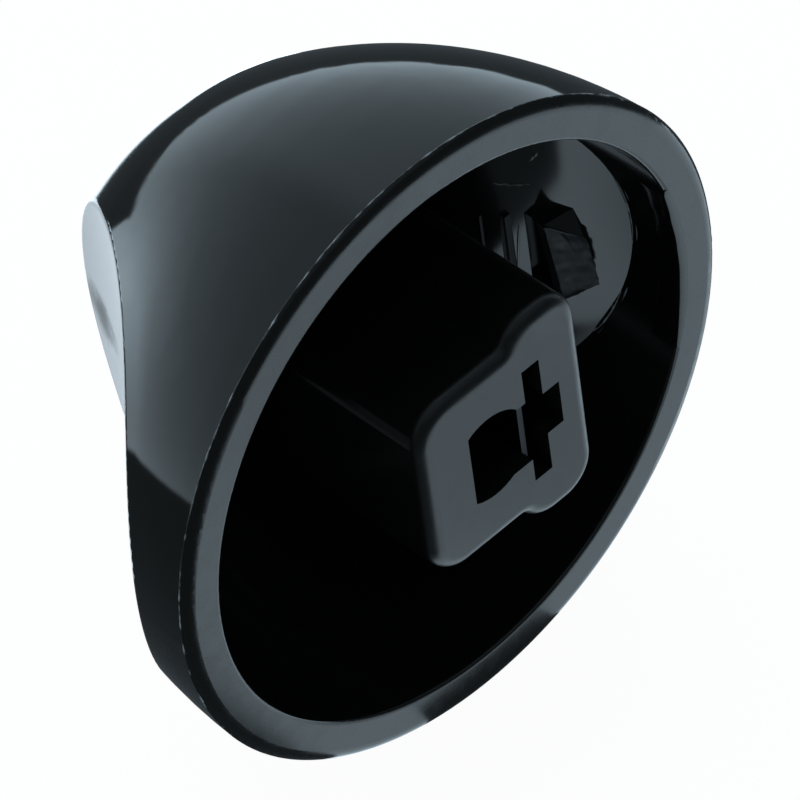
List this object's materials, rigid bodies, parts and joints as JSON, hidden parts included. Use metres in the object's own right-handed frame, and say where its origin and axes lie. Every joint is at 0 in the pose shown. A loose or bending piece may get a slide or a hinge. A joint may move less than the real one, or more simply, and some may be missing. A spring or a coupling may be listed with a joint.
{
  "type": "control knob",
  "caption": "Black domed turning knob with two concave finger facets, a hollow back and a stem whose D-shaped socket grips a tap shaft with a steel leaf.",
  "frame": {"origin": "on the shaft axis, in the plane of the rim's flat face", "axes": "+Y along the shaft axis out of the open back, -Y out of the domed front, +Z along the grip fin, +X towards the shaft flat's side"},
  "size_m": [0.042, 0.0285, 0.042],
  "materials": {
    "abs": "black ABS, polished dome, satin rim and stem end",
    "spring_steel": "blued and oiled rolled spring steel"
  },
  "bodies": {
    "root": {"knob": "abs", "leaf_spring": "spring_steel"}
  },
  "joints": []
}
